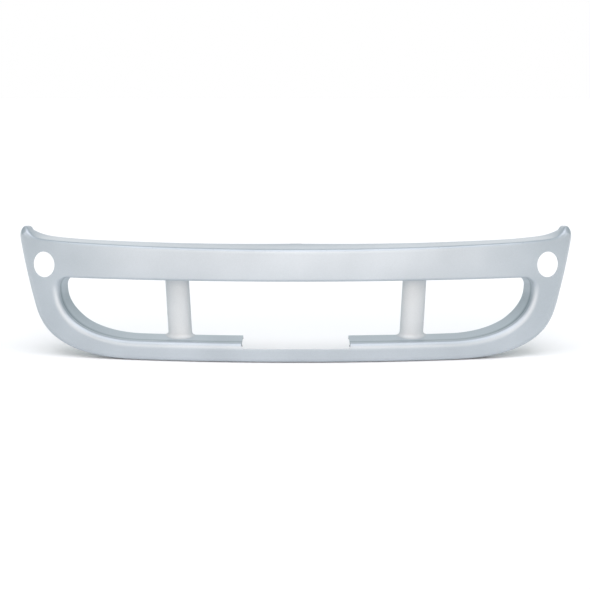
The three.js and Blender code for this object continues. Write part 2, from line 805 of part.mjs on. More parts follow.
const screwShape = screwGeometry();
for (const place of screwPlaces()) {
  addMesh(place.name, screwShape, materials.screwSteel, screwSeat(place, bend));
}

// The cover's origin is on its centre plane, on the rear face of the top centre clip nut, below its hole.
const rearFace = new THREE.Vector3(0, clip.thick + (clip.opening - tab.thick) / 2, -9);
const [centreClip] = clipPlaces();
cover.position.copy(rearFace.applyMatrix4(seat(0, centreClip.depth, centreClip.z))).negate();

export default cover;
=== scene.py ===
import math
import bmesh
import bpy
from mathutils import Matrix, Vector


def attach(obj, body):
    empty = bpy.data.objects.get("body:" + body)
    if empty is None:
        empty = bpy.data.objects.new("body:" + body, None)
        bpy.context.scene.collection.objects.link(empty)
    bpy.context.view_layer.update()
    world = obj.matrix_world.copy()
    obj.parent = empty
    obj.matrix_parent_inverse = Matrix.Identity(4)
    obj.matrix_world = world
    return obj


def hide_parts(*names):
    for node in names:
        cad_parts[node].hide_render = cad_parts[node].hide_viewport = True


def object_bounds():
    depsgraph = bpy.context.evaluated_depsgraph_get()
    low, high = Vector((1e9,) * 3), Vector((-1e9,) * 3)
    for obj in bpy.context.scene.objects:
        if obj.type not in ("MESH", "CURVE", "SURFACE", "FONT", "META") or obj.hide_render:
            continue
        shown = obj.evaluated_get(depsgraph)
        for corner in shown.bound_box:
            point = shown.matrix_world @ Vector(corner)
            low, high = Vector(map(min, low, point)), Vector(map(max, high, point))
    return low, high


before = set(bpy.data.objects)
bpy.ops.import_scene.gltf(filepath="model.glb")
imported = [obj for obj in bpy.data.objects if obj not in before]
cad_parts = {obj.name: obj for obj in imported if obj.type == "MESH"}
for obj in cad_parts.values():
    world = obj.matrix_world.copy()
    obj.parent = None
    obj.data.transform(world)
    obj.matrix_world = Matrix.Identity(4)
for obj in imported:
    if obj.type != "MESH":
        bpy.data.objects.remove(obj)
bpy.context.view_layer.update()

# Pieces are drawn in millimetres on a flat cover: x along it, y into the vehicle, z up from the lower edge.
# bendPoint() then gives every point its place on the swept and crowned cover, in metres.
sweep = {
    "middleRadius": 3030,  # plan radius of the long middle stretch
    "endRadius": 600,  # and of both ends
    "middleHalf": 640,  # where one gives way to the other
    "crownRadius": 2000,
    "crownCentre": 120,
    "crownFull": 43,  # the crown fades out between these depths
    "crownGone": 70,
    "origin": Vector((0, 75.6, 320)),
}
fine = 0.001  # millimetres to metres


def clamp(value, low=0.0, high=1.0):
    return max(low, min(high, value))


def mix(a, b, share):
    return a + (b - a) * share


def smoothStep(value, low, high):
    t = clamp((value - low) / (high - low))
    return t * t * (3 - 2 * t)


def planCurve(along):
    side = -1 if along < 0 else 1
    distance = abs(along)
    first = min(distance, sweep["middleHalf"]) / sweep["middleRadius"]
    angle = first + max(distance - sweep["middleHalf"], 0) / sweep["endRadius"]
    x = sweep["middleRadius"] * math.sin(first) + sweep["endRadius"] * (math.sin(angle) - math.sin(first))
    y = sweep["middleRadius"] * (1 - math.cos(first)) + sweep["endRadius"] * (math.cos(first) - math.cos(angle))
    return side * x, y, side * angle


def bendPoint(point):
    x, y, angle = planCurve(point[0])
    share = clamp((sweep["crownGone"] - point[1]) / (sweep["crownGone"] - sweep["crownFull"]))
    depth = point[1] + share * (point[2] - sweep["crownCentre"]) ** 2 / (2 * sweep["crownRadius"])
    place = Vector((x - depth * math.sin(angle), y + depth * math.cos(angle), point[2]))
    return (place - sweep["origin"]) * fine


def axesMatrix(along, back, up, origin):
    turn = Matrix((along, back, up)).transposed().to_4x4()
    return Matrix.Translation(origin) @ turn @ Matrix.Scale(fine, 4)


# The frame of the bent cover at a flat point, for rigid pieces drawn in millimetres.
def seatAt(x, depth, z):
    origin = bendPoint((x, depth, z))
    angle = planCurve(x)[2]
    along = Vector((math.cos(angle), math.sin(angle), 0))
    up = bendPoint((x, depth, z + 1)) - origin
    back = up.cross(along).normalized()
    return axesMatrix(along, back, along.cross(back), origin)


def linear(hexColour):
    channels = [int(hexColour[i : i + 2], 16) / 255 for i in (0, 2, 4)]
    return [c / 12.92 if c <= 0.04045 else ((c + 0.055) / 1.055) ** 2.4 for c in channels] + [1]


def newMaterial(name):
    material = bpy.data.materials.new(name)
    material.use_nodes = True
    return material, material.node_tree


# Adds a node with its settings, and links what feeds it.
def addNode(tree, kind, settings=None, values=None, links=None):
    node = tree.nodes.new(kind)
    for key, value in (settings or {}).items():
        setattr(node, key, value)
    for key, value in (values or {}).items():
        node.inputs[key].default_value = value
    for key, source in (links or {}).items():
        tree.links.new(source, node.inputs[key])
    return node


def shaderOf(tree, values, links):
    shader = next(n for n in tree.nodes if n.type == "BSDF_PRINCIPLED")
    for key, value in values.items():
        shader.inputs[key].default_value = value
    for key, source in links.items():
        tree.links.new(source, shader.inputs[key])


# A colour ramp between two positions.
def rampOf(tree, source, stops):
    ramp = addNode(tree, "ShaderNodeValToRGB", links={"Fac": source})
    ramp.color_ramp.elements[0].position = stops[0][0]
    ramp.color_ramp.elements[0].color = stops[0][1]
    ramp.color_ramp.elements[1].position = stops[1][0]
    ramp.color_ramp.elements[1].color = stops[1][1]
    return ramp.outputs["Color"]


paint = {
    "flakeSize": 2.2,  # mm: real flakes are 0.03 mm, drawn coarse enough to show
    "peelSize": 5.0,  # mm between the ripples of sprayed lacquer
    "cloudSize": 190.0,  # mm: slow change of tone from spraying
    "bare": 22.0,  # mm deep: painted shade on the liner, full down to this depth, darker towards its hidden front edge under the shell's lip
    "lipShadeGone": 35.0,
    "flakeShare": 0.5,  # how much of the flakes' tone comes through
    "smoother": 0.04,  # roughness varies from flake to flake, by this much down and up
    "rougher": 0.05,
    "peelStrength": 0.06,
    "peelDepth": 0.4,  # mm
    "coatRoughness": 0.12,
}


# Silver basecoat under clear lacquer, sprayed on moulded plastic: a soft metallic sheen, a grain of flakes
# that sparkles a little, and a faint orange peel in the gloss.
def silverPaint(name, pale, deep, metallic, roughness, coat, lipShadeTone=None):
    material, tree = newMaterial(name)
    place = addNode(tree, "ShaderNodeTexCoord").outputs["Object"]
    cloud = addNode(tree, "ShaderNodeTexNoise", links={"Vector": place},
                    values={"Scale": 1 / (paint["cloudSize"] * fine), "Detail": 2.0})
    tone = rampOf(tree, cloud.outputs["Fac"], [(0.35, linear(deep)), (0.65, linear(pale))])
    flake = addNode(tree, "ShaderNodeTexVoronoi", values={"Scale": 1 / (paint["flakeSize"] * fine)},
                    links={"Vector": place})
    flakeTone = rampOf(tree, flake.outputs["Color"], [(0.1, (0.9, 0.9, 0.9, 1)), (0.9, (1, 1, 1, 1))])
    colour = addNode(tree, "ShaderNodeMix", {"data_type": "RGBA", "blend_type": "MULTIPLY"})
    colour.inputs["Factor"].default_value = paint["flakeShare"]
    tree.links.new(tone, colour.inputs["A"])
    tree.links.new(flakeTone, colour.inputs["B"])
    painted = colour.outputs["Result"]
    # Painted shade: towards the liner's front edge, where the shell's lip shades it, the colour darkens to the
    # given dark tone by depth.
    if lipShadeTone:
        depth = addNode(tree, "ShaderNodeAttribute", {"attribute_name": "flatDepth"})
        limits = {"From Min": paint["bare"], "From Max": paint["lipShadeGone"]}
        cover = addNode(tree, "ShaderNodeMapRange", values=limits, links={"Value": depth.outputs["Fac"]})
        lipShade = addNode(tree, "ShaderNodeMix", {"data_type": "RGBA"})
        lipShade.inputs["A"].default_value = linear(lipShadeTone)
        tree.links.new(cover.outputs["Result"], lipShade.inputs["Factor"])
        tree.links.new(painted, lipShade.inputs["B"])
        painted = lipShade.outputs["Result"]
    limits = {"To Min": roughness - paint["smoother"], "To Max": roughness + paint["rougher"]}
    rough = addNode(tree, "ShaderNodeMapRange", values=limits, links={"Value": flake.outputs["Distance"]})
    peel = addNode(tree, "ShaderNodeTexNoise", links={"Vector": place},
                   values={"Scale": 1 / (paint["peelSize"] * fine), "Detail": 1.0})
    ripple = {"Strength": paint["peelStrength"], "Distance": paint["peelDepth"] * fine}
    bump = addNode(tree, "ShaderNodeBump", values=ripple, links={"Height": peel.outputs["Fac"]})
    look = {"Metallic": metallic, "IOR": 1.5, "Coat Weight": coat, "Coat Roughness": paint["coatRoughness"]}
    shaderOf(tree, look,
             {"Base Color": painted, "Roughness": rough.outputs["Result"], "Normal": bump.outputs["Normal"]})
    return material


nylonSkin = {"dark": "161718", "pale": "242628", "grainSize": 0.8, "grainDepth": 0.1, "roughness": 0.5}


# Black nylon, moulded: a dull sheen with a fine spark-eroded grain.
def mouldedNylon():
    skin = nylonSkin
    material, tree = newMaterial("mouldedNylon")
    place = addNode(tree, "ShaderNodeTexCoord").outputs["Object"]
    grain = addNode(tree, "ShaderNodeTexNoise", links={"Vector": place},
                    values={"Scale": 1 / (skin["grainSize"] * fine), "Detail": 3.0})
    tone = rampOf(tree, grain.outputs["Fac"], [(0.3, linear(skin["dark"])), (0.7, linear(skin["pale"]))])
    bump = addNode(tree, "ShaderNodeBump", values={"Strength": 0.25, "Distance": skin["grainDepth"] * fine},
                   links={"Height": grain.outputs["Fac"]})
    shaderOf(tree, {"Roughness": skin["roughness"], "IOR": 1.53},
             {"Base Color": tone, "Normal": bump.outputs["Normal"]})
    return material


backSkin = {"dark": "34373a", "pale": "404347", "flowSize": 70, "grainSize": 1.4, "grainDepth": 0.15,
            "roughness": 0.58}


# Dark polypropylene as it leaves the mould, bare on the backs: matt, finely grained, cloudy where it flowed.
def mouldedPolypropylene():
    skin = backSkin
    material, tree = newMaterial("mouldedPolypropylene")
    place = addNode(tree, "ShaderNodeTexCoord").outputs["Object"]
    flow = addNode(tree, "ShaderNodeTexNoise", links={"Vector": place},
                   values={"Scale": 1 / (skin["flowSize"] * fine), "Detail": 2.0})
    tone = rampOf(tree, flow.outputs["Fac"], [(0.3, linear(skin["dark"])), (0.7, linear(skin["pale"]))])
    grain = addNode(tree, "ShaderNodeTexVoronoi", values={"Scale": 1 / (skin["grainSize"] * fine)},
                    links={"Vector": place})
    bump = addNode(tree, "ShaderNodeBump", values={"Strength": 0.3, "Distance": skin["grainDepth"] * fine},
                   links={"Height": grain.outputs["Distance"]})
    shaderOf(tree, {"Roughness": skin["roughness"], "IOR": 1.49},
             {"Base Color": tone, "Normal": bump.outputs["Normal"]})
    return material


steelSkin = {"dark": "4b4e50", "pale": "6b6f72", "crystalSize": 1.5, "smoothest": 0.42, "roughest": 0.62}


# Spring steel with a grey phosphate coat: crystalline, matt, slightly mottled.
def phosphatedSteel():
    skin = steelSkin
    material, tree = newMaterial("phosphatedSpringSteel")
    place = addNode(tree, "ShaderNodeTexCoord").outputs["Object"]
    mottle = addNode(tree, "ShaderNodeTexVoronoi", values={"Scale": 1 / (skin["crystalSize"] * fine)},
                     links={"Vector": place})
    tone = rampOf(tree, mottle.outputs["Distance"], [(0.1, linear(skin["dark"])), (0.8, linear(skin["pale"]))])
    rough = addNode(tree, "ShaderNodeMapRange", links={"Value": mottle.outputs["Distance"]},
                    values={"To Min": skin["smoothest"], "To Max": skin["roughest"]})
    shaderOf(tree, {"Metallic": 0.85}, {"Base Color": tone, "Roughness": rough.outputs["Result"]})
    return material


zincSkin = {"cool": "c3c8d0", "warm": "cfcbbb", "bloomSize": 4, "smoothest": 0.22, "roughest": 0.38}


# Zinc plate, passivated: bright, with a faint blue and yellow bloom.
def zincPlate():
    skin = zincSkin
    material, tree = newMaterial("zincPlatedSteel")
    place = addNode(tree, "ShaderNodeTexCoord").outputs["Object"]
    bloom = addNode(tree, "ShaderNodeTexNoise", links={"Vector": place},
                    values={"Scale": 1 / (skin["bloomSize"] * fine), "Detail": 2.0})
    tone = rampOf(tree, bloom.outputs["Fac"], [(0.35, linear(skin["cool"])), (0.65, linear(skin["warm"]))])
    rough = addNode(tree, "ShaderNodeMapRange", links={"Value": bloom.outputs["Fac"]},
                    values={"To Min": skin["smoothest"], "To Max": skin["roughest"]})
    shaderOf(tree, {"Metallic": 1.0}, {"Base Color": tone, "Roughness": rough.outputs["Result"]})
    return material


# Name, pale and deep tone, metallic share, roughness, clear coat.
shellPaint = silverPaint("silverLacquerShell", "afb9c1", "a7b1b9", 0.5, 0.42, 0.3)
# The liner's paint darkens towards its front edge: painted shade under the shell's lip.
linerPaint = silverPaint("silverPaintLiner", "bfc9d0", "b7c1c8", 0.4, 0.45, 0.0, lipShadeTone="75858d")
uprightPaint = silverPaint("silverPaintUpright", "c3c9cd", "bcc3c8", 0.15, 0.45, 0.1)
nylon = mouldedNylon()
bareBack = mouldedPolypropylene()
springSteel = phosphatedSteel()
zinc = zincPlate()
print("materials ready")


def newPiece(name, bm, material):
    mesh = bpy.data.meshes.new(name)
    bm.to_mesh(mesh)
    bm.free()
    piece = bpy.data.objects.new(name, mesh)
    bpy.context.scene.collection.objects.link(piece)
    mesh.materials.append(material)
    return piece


def addModifier(piece, kind, **settings):
    modifier = piece.modifiers.new(kind.title(), kind)
    for key, value in settings.items():
        setattr(modifier, key, value)


# Applies the modifiers that a piece has so far.
def settle(piece):
    shape = piece.evaluated_get(bpy.context.evaluated_depsgraph_get())
    mesh = bpy.data.meshes.new_from_object(shape)
    piece.modifiers.clear()
    old, piece.data = piece.data, mesh
    mesh.name = piece.name
    bpy.data.meshes.remove(old)


# Joins tools to a piece, or cuts them out of it, and clears them away.
def boolean(piece, operation, tools):
    group = bpy.data.collections.new("tools")
    bpy.context.scene.collection.children.link(group)
    for tool in tools:
        bpy.context.scene.collection.objects.unlink(tool)
        group.objects.link(tool)
    addModifier(piece, "BOOLEAN", operation=operation, operand_type="COLLECTION", collection=group,
                solver="MANIFOLD", material_mode="TRANSFER")
    settle(piece)
    for tool in tools:
        bpy.data.meshes.remove(tool.data)
    bpy.data.collections.remove(group)


def shadeSmooth(piece, degrees=32):
    piece.data.shade_smooth()
    piece.data.set_sharp_from_angle(angle=math.radians(degrees))


# Keeps each point's depth on the flat cover, in millimetres, for the liner paint's painted shade to read.
def keepDepth(piece):
    depths = piece.data.attributes.new("flatDepth", "FLOAT", "POINT")
    depths.data.foreach_set("value", [vertex.co.y for vertex in piece.data.vertices])


def placeWith(piece, mapping):
    keepDepth(piece)
    for vertex in piece.data.vertices:
        vertex.co = mapping(vertex.co)
    piece.data.update()


def outwards(bm):
    bmesh.ops.remove_doubles(bm, verts=bm.verts, dist=1e-4)
    bmesh.ops.recalc_face_normals(bm, faces=bm.faces)


# A skin through closed loops of points: the first is laid down as edges and extruded from one to the next.
def skinThrough(loops, caps=False):
    bm = bmesh.new()
    ring = [bm.verts.new(p) for p in loops[0]]
    edges = [bm.edges.new(pair) for pair in zip(ring, ring[1:] + ring[:1])]
    for points in loops[1:]:
        made = bmesh.ops.extrude_edge_only(bm, edges=edges)["geom"]
        fresh = {g for g in made if isinstance(g, bmesh.types.BMVert)}
        ring = [next(e.other_vert(v) for e in v.link_edges if e.other_vert(v) in fresh) for v in ring]
        for vertex, point in zip(ring, points):
            vertex.co = point
        edges = [bm.edges.get(pair) for pair in zip(ring, ring[1:] + ring[:1])]
    if caps:
        bmesh.ops.holes_fill(bm, edges=[e for e in bm.edges if e.is_boundary])
    return bm


def blockOf(x0, x1, y0, y1, z0, z1, bevel=0.0):
    bm = bmesh.new()
    bmesh.ops.create_cube(bm, size=1)
    bmesh.ops.scale(bm, vec=(x1 - x0, y1 - y0, z1 - z0), verts=bm.verts)
    bmesh.ops.translate(bm, vec=((x0 + x1) / 2, (y0 + y1) / 2, (z0 + z1) / 2), verts=bm.verts)
    if bevel:
        bmesh.ops.bevel(bm, geom=bm.edges, offset=bevel, affect="EDGES", segments=2, profile=0.5, material=-1)
    return bm


# A turned shape about the y axis from [radius, y] points, the first and last of them on the axis or joined.
def turnedShape(points, steps=40, closed=False):
    bm = bmesh.new()
    verts = [bm.verts.new((r, y, 0)) for r, y in points]
    pairs = list(zip(verts, verts[1:])) + ([(verts[-1], verts[0])] if closed else [])
    edges = [bm.edges.new(pair) for pair in pairs]
    bmesh.ops.spin(bm, geom=verts + edges, cent=(0, 0, 0), axis=(0, 1, 0), angle=2 * math.pi, steps=steps,
                   use_merge=True)
    outwards(bm)
    return bm


# A bar along y with a small round-over where it leaves the faces at y0 and y1, to cut eased holes.
def holeTool(name, radius, y0, y1, x=0, z=0, ease=0.7, steps=48, finish=None):
    rounding = [(radius + ease * (1 - math.sin(a)), ease * (1 - math.cos(a)))
                for a in (math.radians(d) for d in (0, 30, 60, 90))]
    near = [(r, y0 + d) for r, d in rounding]
    far = [(r, y1 - d) for r, d in reversed(rounding)]
    ends = radius + ease
    points = [(0, y0 - 3), (ends, y0 - 3), *near, *far, (ends, y1 + 3), (0, y1 + 3)]
    bm = turnedShape(points, steps)
    bmesh.ops.translate(bm, vec=(x, 0, z), verts=bm.verts)
    return newPiece(name, bm, finish or bareBack)


def finished(piece, body, *nodes):
    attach(piece, body)
    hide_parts(*nodes)
    return piece


outline = {
    "topHeight": 333,
    "topBow": 2.7e-5,  # rise of the top edge, per square of the distance from the middle
    "topEnd": 750,
    "topSplit": 590,
    "tipPull": (812, 350.7),
    "tipCentre": (842, 355),
    "tipRadius": 5,
    "tipStart": 105,  # degrees
    "sideTilt": math.radians(18.4),
    "sideFoot": (783.5, 163),
    "cornerPulls": [(758, 72), (700, 0)],
    "bottomEnd": 480,
}
opening = {
    "top": 240,
    "bottom": 57.5,
    "end": 717,
    "radius": 33,
    "pulls": [(717, 116), (620, 57.5)],
    "straight": 470,
    "edgeReach": 20,  # how far the rounded edge runs out over the face
    "edgeDepth": 14,
    "edgeReachTop": 7,
    "edgeDepthTop": 5,
    "lipEnd": 20,
}


# Curves give a point and a direction for a share of their length.
def bezier(*points):
    def at(share):
        level = [Vector(p) for p in points]
        while len(level) > 2:
            level = [a.lerp(b, share) for a, b in zip(level, level[1:])]
        return level[0].lerp(level[1], share), (level[1] - level[0]).normalized()
    return at


def arc(centre, radius, start, end):
    def at(share):
        angle = math.radians(mix(start, end, share))
        outward = Vector((math.cos(angle), math.sin(angle)))
        return Vector(centre) + radius * outward, Vector((outward.y, -outward.x))
    return at


def topHeightAt(x):
    return outline["topHeight"] + outline["topBow"] * x * x


def topEdge(x0, x1):
    middle = outline["topHeight"] + outline["topBow"] * x0 * x1
    return bezier((x0, topHeightAt(x0)), ((x0 + x1) / 2, middle), (x1, topHeightAt(x1)))


def halfStations():
    o, g = outline, opening
    tip = arc(o["tipCentre"], o["tipRadius"], o["tipStart"], -math.degrees(o["sideTilt"]))
    tipTop, tipSide = tip(0)[0], tip(1)[0]
    side = bezier(tipSide, o["sideFoot"])
    lower = bezier(o["sideFoot"], *o["cornerPulls"], (o["bottomEnd"], 0))
    upturn = bezier((o["topEnd"], topHeightAt(o["topEnd"])), o["tipPull"], tipTop)
    cornerX, cornerZ = g["end"] - g["radius"], g["top"] - g["radius"]
    corner = arc((cornerX, cornerZ), g["radius"], 90, 0)
    taper = bezier((g["end"], cornerZ), *g["pulls"], (g["straight"], g["bottom"]))
    split, top, bottom = o["topSplit"], g["top"], g["bottom"]
    # outer curve, opening's curve, its shares, the outer curve's shares, steps
    stretches = [
        (topEdge(0, split), bezier((0, top), (split, top)), (0, 1), (0, 1), 10),
        (topEdge(split, o["topEnd"]), bezier((split, top), (cornerX, top)), (0, 1), (0, 1), 4),
        (upturn, corner, (0, 0.45), (0, 1), 8),
        (tip, corner, (0.45, 0.75), (0, 1), 7),
        (side, corner, (0.75, 1), (0, 0.3), 3),
        (side, taper, (0, 0.2), (0.3, 1), 4),
        (lower, taper, (0.2, 1), (0, 1), 13),
        (bezier((o["bottomEnd"], 0), (0, 0)), bezier((g["straight"], bottom), (0, bottom)), (0, 1), (0, 1), 9),
    ]
    stations = []
    for outer, inner, innerShares, outerShares, steps in stretches:
        last = steps + 1 if outer is stretches[-1][0] else steps
        for i in range(last):
            point, way = outer(mix(*outerShares, i / steps))
            edge, edgeWay = inner(mix(*innerShares, i / steps))
            stations.append((point, Vector((way.y, -way.x)), edge, Vector((-edgeWay.y, edgeWay.x))))
    return stations, tipTop.x, tipSide.x


def mirroredStation(station):
    return tuple(Vector((-v.x, v.y)) for v in station)


half, tipTopX, tipSideX = halfStations()
stations = half + [mirroredStation(s) for s in reversed(half[1:-1])]


# The closed loop at [distance, depth] from one of the outlines; sectionOf gives that pair for a station.
def loopAt(sectionOf, outer=True):
    points = []
    for station in stations:
        distance, depth = sectionOf(station)
        base, way = (station[0], -station[1]) if outer else (station[2], station[3])
        points.append(Vector((base.x + distance * way.x, depth, base.y + distance * way.y)))
    return points


shell = {
    "wall": 3.0,
    "topRear": (10, 74),
    "topRearFar": 2.4,  # how much the top flange still rises at its far ends
    "topFarAt": 650,
    "bottomRear": (1.5, 45),
    "shoulder": (30, 18),
    "sideRear": (33, 42),
    "edgeRadius": 10,
    "shoulderRadius": 8,
    "faceInset": 13,
    "bead": (2.5, 0.9),  # the raised line between the face and the side shoulder
    "tipRise": (785, 841),
    "tipShare": 0.5,
    "tipRearShare": 0.2,
    "tipRearDepth": 40,
    "towHole": (764, 275, 38),  # x, z, radius
    "notch": (160, 41, 9),  # half width, height, corner radius
}


def flangeRise(x):
    top, far = shell["topRear"][0], shell["topRearFar"]
    return top - (top - far) * min(abs(x) / shell["topFarAt"], 1)


# The rim at a station from its rear edge to the face, as [outward, depth]: the sides have a sloping shoulder.
def rimLine(station):
    s = shell
    x, inward = abs(station[0].x), station[1]
    if inward.y >= 0 and x < tipSideX - 0.01:
        share = rearShare = min(abs(inward.x) / math.cos(outline["sideTilt"]), 1) ** 3
        depth = mix(s["bottomRear"][1], s["sideRear"][1], share)
    else:
        rise = clamp((x - s["tipRise"][0]) / (s["tipRise"][1] - s["tipRise"][0])) ** 2
        rounding = smoothStep(x, tipTopX, tipSideX)
        share = rise * mix(s["tipShare"], 1, min(1.4 * rounding, 1))
        rearShare = rise * mix(s["tipRearShare"], 1, rounding)
        depth = mix(mix(s["topRear"][1], s["tipRearDepth"], rise), s["sideRear"][1], rounding)
    plain = flangeRise(station[0].x) if inward.y < 0 else s["bottomRear"][0]
    rear = Vector((mix(plain, s["sideRear"][0], rearShare), depth))
    corner = Vector(s["shoulder"]) * share
    narrow = min(2 * share, 1)  # the face's border closes up where its outline turns sharply
    inset = mix(s["faceInset"], 0, narrow)
    beadOut, beadUp = (size * share ** 2 for size in s["bead"])
    ridge = Vector((beadOut - inset, -beadUp))
    radius = mix(s["edgeRadius"], s["shoulderRadius"], share)
    start = corner + (rear - corner).normalized() * radius
    way = ridge - corner
    end = corner + way.normalized() * radius
    support = rear + (start - rear).normalized() * 2.5
    rounding = [start.lerp(corner, t).lerp(corner.lerp(end, t), t) for t in (0, 0.25, 0.5, 0.75, 1)]
    foot = beadOut * 0.5 + 0.4
    border = [ridge - way.normalized() * foot, ridge, ridge.lerp(Vector((-inset - beadOut, 0)), 0.4),
              Vector((-inset - beadOut, 0)), Vector((-inset - beadOut - mix(2, 1, narrow), 0)),
              Vector((-inset - mix(7, 5, narrow), 0))]
    return [rear, support, support.lerp(start, 0.5), *rounding, *border]


# The opening's edge, from the face to the end of its lip: a quarter ellipse, smaller along the top.
def lipPoints(station):
    share = clamp(station[3].y / 0.8) ** 2
    reach, depth = (mix(opening[size], opening[size + "Top"], share) for size in ("edgeReach", "edgeDepth"))
    turns = [math.radians(d) for d in (90, 75, 60, 45, 30, 15, 0)]
    rounding = [(reach * (1 - math.cos(t)), depth * (1 - math.sin(t))) for t in turns]
    end = opening["lipEnd"]
    return [(reach + 4, 0), *rounding, (0, mix(depth, end, 0.5)), (0, end)]


def shellSkin():
    rimCount = len(rimLine(stations[0]))
    loops = [loopAt(lambda station, k=k: rimLine(station)[k]) for k in range(rimCount)]
    lipCount = len(lipPoints(stations[0]))
    lips = [loopAt(lambda station, k=k: lipPoints(station)[k], outer=False) for k in range(lipCount)]
    between = [[a.lerp(b, t) for a, b in zip(loops[-1], lips[0])] for t in (0.25, 0.5, 0.75)]
    return skinThrough([*loops, *between, *lips])


rivetReach = 27  # from the opening's edge
rivetPlaces = {
    "top_inner": (180, opening["top"] + rivetReach, 0),  # x, z, which way its ear points, in quarter turns
    "top_outer": (540, opening["top"] + rivetReach, 0),
    "end": (opening["end"] + rivetReach, 186, 1),
    "bottom_outer": (470, opening["bottom"] - rivetReach, 2),
    "bottom_inner": (205, opening["bottom"] - rivetReach, 2),
}
pad = {"width": 24, "height": 20, "top": 20.7, "plate": 2.5, "hole": 4.6}
tab = {"width": 34, "height": 27, "thick": 3, "hole": 5, "corner": 4}
tabRows = {
    "top": {"centre": 0, "inner": 300, "outer": 600},  # x
    "topDrop": 14,
    "bottom": {"inner": 250, "outer": 500},  # x
    "bottomRise": 13,
    "side": {"upper": 318, "lower": 195},  # z
    "overlap": 2,
}
ribs = {"upper": (90, 240, 420, 680), "lower": (95, 330, 570), "thick": 2.2, "reach": 38}
sides = {"left": -1, "right": 1}


def padShapes():
    w, h = pad["width"] / 2, pad["height"] / 2
    y0, y1 = pad["top"] - pad["plate"], pad["top"]
    wall = shell["wall"]
    added, cuts = [], []
    for sign in sides.values():
        for x, z, _ in rivetPlaces.values():
            x *= sign
            added.append(newPiece("pad", blockOf(x - w, x + w, wall / 2, y1, z - h, z + h, 0.8), bareBack))
            inside = blockOf(x - w - 1, x + w + 1, wall, y0, z - h + pad["plate"], z + h - pad["plate"])
            cuts.append(newPiece("padInside", inside, bareBack))
            cuts.append(holeTool("padHole", pad["hole"], y0, y1, x, z, 0.3, 32))
    return added, cuts


# Where the clip nuts sit: flat x, depth of the tab's rear face, z, and how far it is turned from hanging down.
def clipPlaces():
    places = {}
    for label, x in tabRows["top"].items():
        z = topHeightAt(x) + flangeRise(x) - tabRows["topDrop"]
        for side, sign in sides.items():
            name = "clip_nut_top_centre" if label == "centre" else f"clip_nut_top_{label}_{side}"
            places[name] = (sign * x, shell["topRear"][1], z, 0)
    for side, sign in sides.items():
        for label, x in tabRows["bottom"].items():
            place = (sign * x, shell["bottomRear"][1], tabRows["bottomRise"], math.pi)
            places[f"clip_nut_bottom_{label}_{side}"] = place
        for label, z in tabRows["side"].items():
            reach = shell["sideRear"][0] - shell["wall"] + tabRows["overlap"] - tab["height"] / 2
            tilt = outline["sideTilt"]
            foot = outline["sideFoot"]
            x = foot[0] + (z - foot[1]) * math.tan(tilt) + reach / math.cos(tilt)
            place = (sign * x, shell["sideRear"][1], z, sign * (math.pi / 2 + tilt))
            places[f"clip_nut_side_{label}_{side}"] = place
    return places


def tabShapes():
    w, h = tab["width"] / 2, tab["height"] / 2
    added, cuts = [], []
    for x, depth, z, turn in clipPlaces().values():
        bm = blockOf(-w, w, depth - tab["thick"], depth, -h, h)
        lower = [e for e in bm.edges if all(v.co.z < 0 for v in e.verts)
                 and abs(e.verts[0].co.y - e.verts[1].co.y) > 1]
        bmesh.ops.bevel(bm, geom=lower, offset=tab["corner"], affect="EDGES", segments=5, profile=0.5,
                        material=-1)
        flat = [e for e in bm.edges if e.verts[0].co.y == e.verts[1].co.y]
        bmesh.ops.bevel(bm, geom=flat, offset=0.4, affect="EDGES", segments=2, profile=0.5, material=-1)
        tool = holeTool("tabHole", tab["hole"], depth - tab["thick"], depth, ease=0.3, steps=32)
        plate = newPiece("tab", bm, bareBack)
        place = Matrix.Translation((x, 0, z)) @ Matrix.Rotation(turn, 4, "Y")
        for shape, group in ((plate, added), (tool, cuts)):
            shape.data.transform(place)
            group.append(shape)
    return added, cuts


# Gussets between the face and the flanges, as plates across x.
def gussetShapes():
    wall = shell["wall"]
    added = []
    for sign in sides.values():
        for x in ribs["upper"]:
            under = topHeightAt(x) - 1
            back = (ribs["reach"], under + flangeRise(x) * ribs["reach"] / shell["topRear"][1])
            points = [(wall - 1, under - 26), (wall - 1, under - 2), (wall + 7, under), back]
            added.append(gusset(sign * x, points))
        for x in ribs["lower"]:
            floor = 8 if x > outline["bottomEnd"] else 1.5
            points = [(wall - 1, floor + 24), (wall - 1, floor + 2), (wall + 6, floor), (37, floor)]
            added.append(gusset(sign * x, points))
    return added


def gusset(x, points):
    bm = bmesh.new()
    face = bm.faces.new([bm.verts.new((x - ribs["thick"] / 2, y, z)) for y, z in points])
    made = bmesh.ops.extrude_face_region(bm, geom=[face])["geom"]
    far = [g for g in made if isinstance(g, bmesh.types.BMVert)]
    bmesh.ops.translate(bm, vec=(ribs["thick"], 0, 0), verts=far)
    outwards(bm)
    return newPiece("gusset", bm, bareBack)


# Cuts the notch in the lower edge through shell and liner, with rounded lower corners.
def notchTool(finish):
    halfWidth, bottom, radius = shell["notch"]
    roof = (opening["top"] + opening["bottom"]) / 2
    bm = blockOf(-halfWidth, halfWidth, -40, 110, bottom, roof)
    corners = [e for e in bm.edges if all(v.co.z < roof - 1 for v in e.verts)
               and abs(e.verts[0].co.y - e.verts[1].co.y) > 1]
    bmesh.ops.bevel(bm, geom=corners, offset=radius, affect="EDGES", segments=8, profile=0.5, material=-1)
    return newPiece("notch", bm, finish)


# Gives a skin its wall, bare on the back, and smooths it. Its normals have to look to the front for that.
def thickened(name, bm, wall, material):
    outwards(bm)
    front = min(bm.faces, key=lambda f: abs(f.calc_center_median().y) + abs(f.normal.x)
                + 50 * (f.normal.z ** 2))
    if front.normal.y > 0:
        bmesh.ops.reverse_faces(bm, faces=bm.faces)
    piece = newPiece(name, bm, material)
    piece.data.materials.append(bareBack)
    addModifier(piece, "SOLIDIFY", thickness=wall, offset=-1, use_even_offset=True, material_offset=1)
    addModifier(piece, "SUBSURF", levels=2, render_levels=2)
    settle(piece)
    return piece


